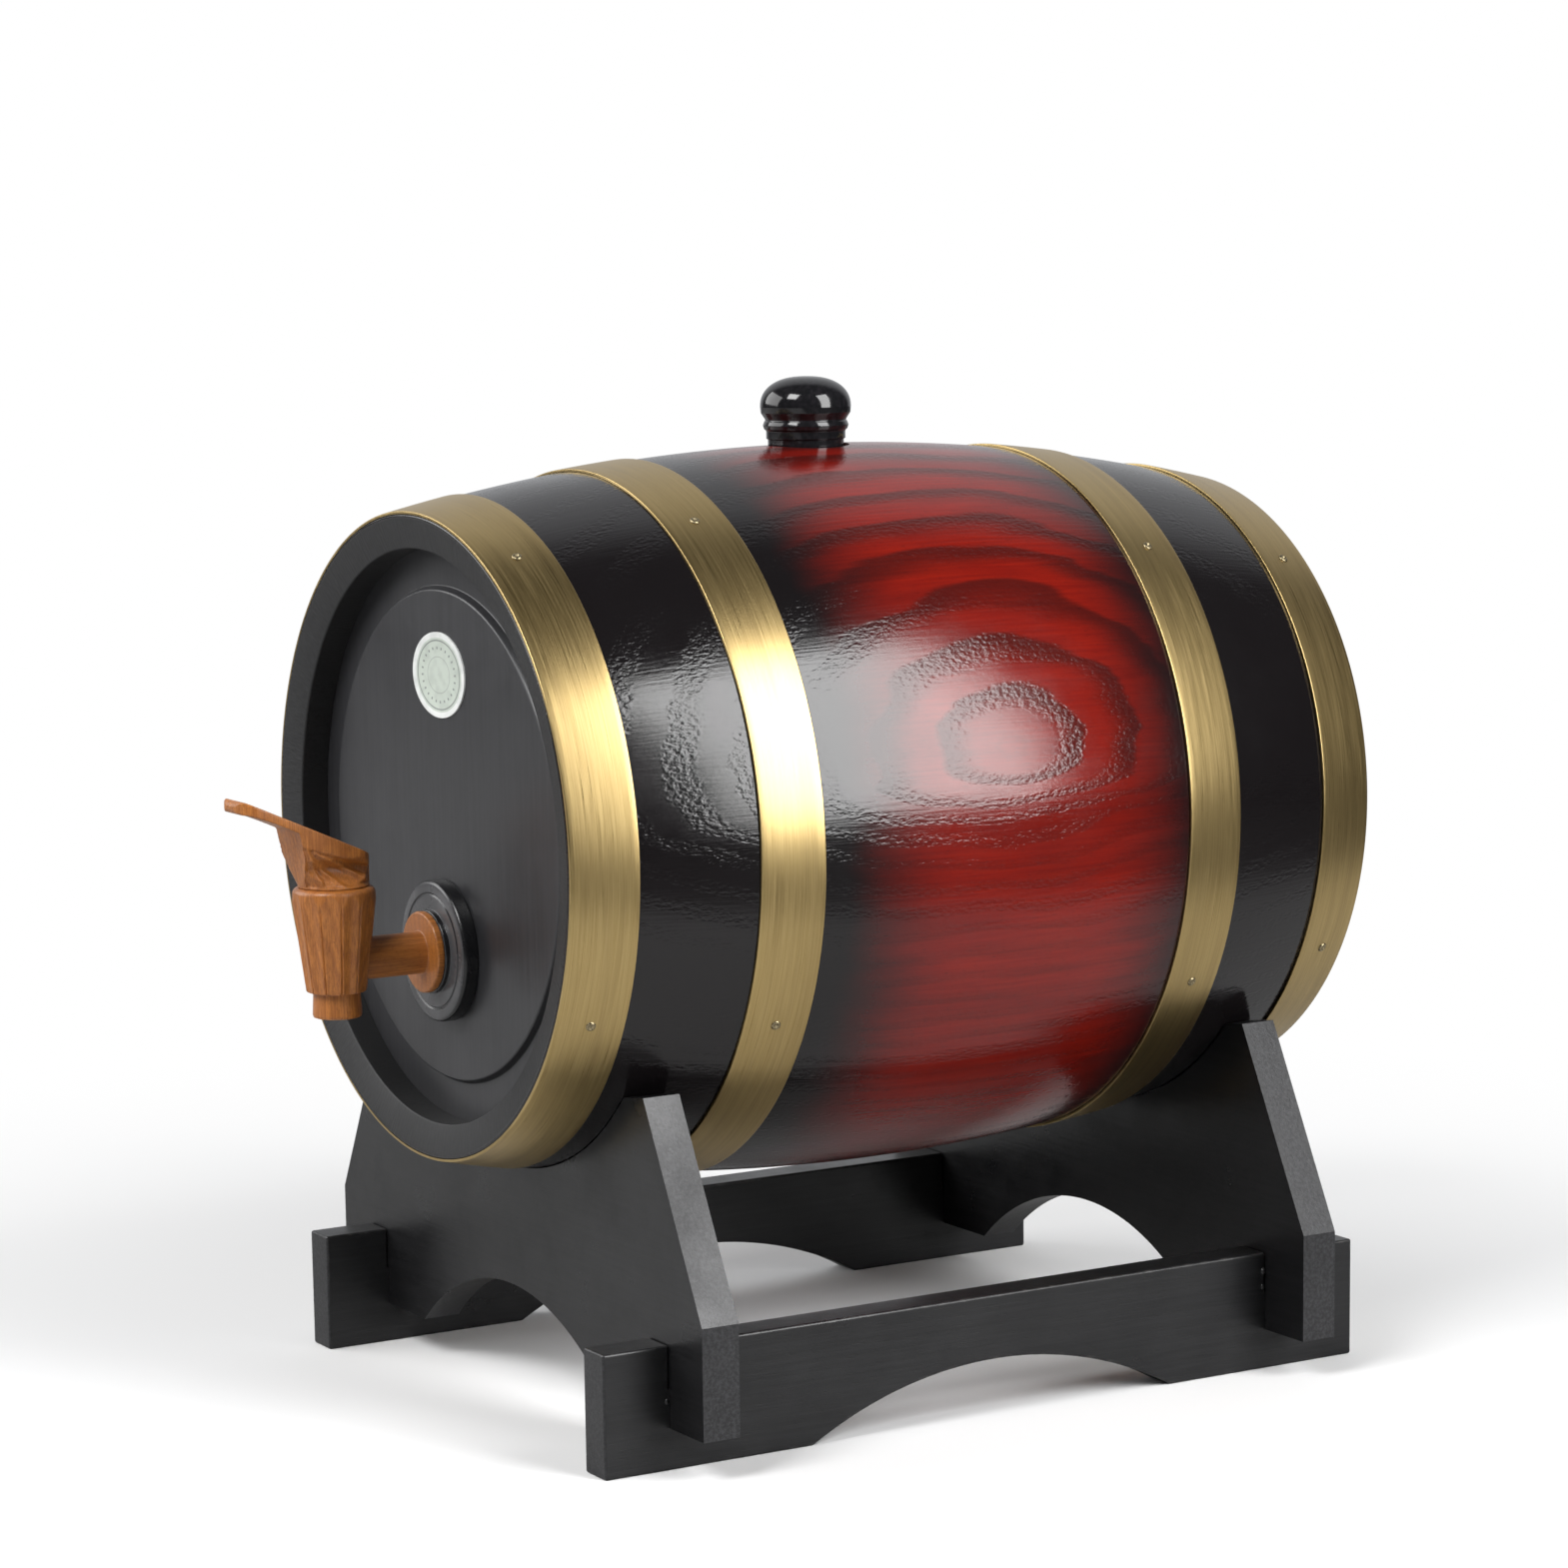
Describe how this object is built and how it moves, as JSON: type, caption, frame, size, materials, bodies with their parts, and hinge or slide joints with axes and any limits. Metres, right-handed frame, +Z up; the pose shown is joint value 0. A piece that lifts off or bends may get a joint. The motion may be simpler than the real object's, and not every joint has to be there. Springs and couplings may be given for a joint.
{
  "type": "oak cask drink dispenser",
  "caption": "Small oak cask lying on a halved-joint cradle stand, with brass hoops, a turned wooden tap with a lever key, and a knobbed bung.",
  "frame": {"origin": "on the floor, under the middle of the whole object's box", "axes": "+Z up; the cask's axis lies along Y with the tap at -Y; +X is to the right seen from the tap's side"},
  "size_m": [0.2352, 0.3406, 0.307],
  "materials": {
    "stave_oak": "glossy lacquer over a red-brown stain that fades to black",
    "head_black": "satin black paint",
    "hoop_brass": "brushed round the hoop",
    "nail_metal": "plain",
    "stand_black": "satin black paint over open grain",
    "dowel_wood": "bare",
    "tap_wood": "oiled, with dark grain",
    "cork": "bare cork",
    "bung_black": "glossy black lacquer",
    "badge_plate": "satin"
  },
  "bodies": {
    "stand": {"front_end_board": "stand_black", "rear_end_board": "stand_black", "left_rail": "stand_black", "right_rail": "stand_black", "joint_dowels": "dowel_wood"},
    "cask": {"stave_1": "stave_oak", "stave_2": "stave_oak", "stave_3": "stave_oak", "stave_4": "stave_oak", "stave_5": "stave_oak", "stave_6": "stave_oak", "stave_7": "stave_oak", "stave_8": "stave_oak", "stave_9": "stave_oak", "stave_10": "stave_oak", "stave_11": "stave_oak", "stave_12": "stave_oak", "stave_13": "stave_oak", "stave_14": "stave_oak", "stave_15": "stave_oak", "stave_16": "stave_oak", "front_head": "head_black", "rear_head": "head_black", "hoop_front_end": "hoop_brass", "hoop_front_quarter": "hoop_brass", "hoop_rear_quarter": "hoop_brass", "hoop_rear_end": "hoop_brass", "nails_front_end": "nail_metal", "nails_front_quarter": "nail_metal", "nails_rear_quarter": "nail_metal", "nails_rear_end": "nail_metal", "tap_rosette": "head_black", "tap_stem": "tap_wood", "tap_body": "tap_wood", "tap_cork_lining": "cork", "badge": "badge_plate"},
    "key": {"tap_key": "tap_wood"},
    "bung": {"bung_knob": "bung_black", "bung_stopper": "cork"}
  },
  "joints": [
    {"name": "cask_lift", "type": "slide", "parent": "stand", "child": "cask", "axis": [0, 0, 1], "range_m": [0, 0.1]},
    {"name": "key_turn", "type": "hinge", "parent": "cask", "child": "key", "pos_m": [0, -0.13687, 0.163], "axis": [0, 0, 1], "range_deg": [-90, 90]},
    {"name": "bung_pull", "type": "slide", "parent": "cask", "child": "bung", "axis": [0, 0, 1], "range_m": [0, 0.06]}
  ]
}
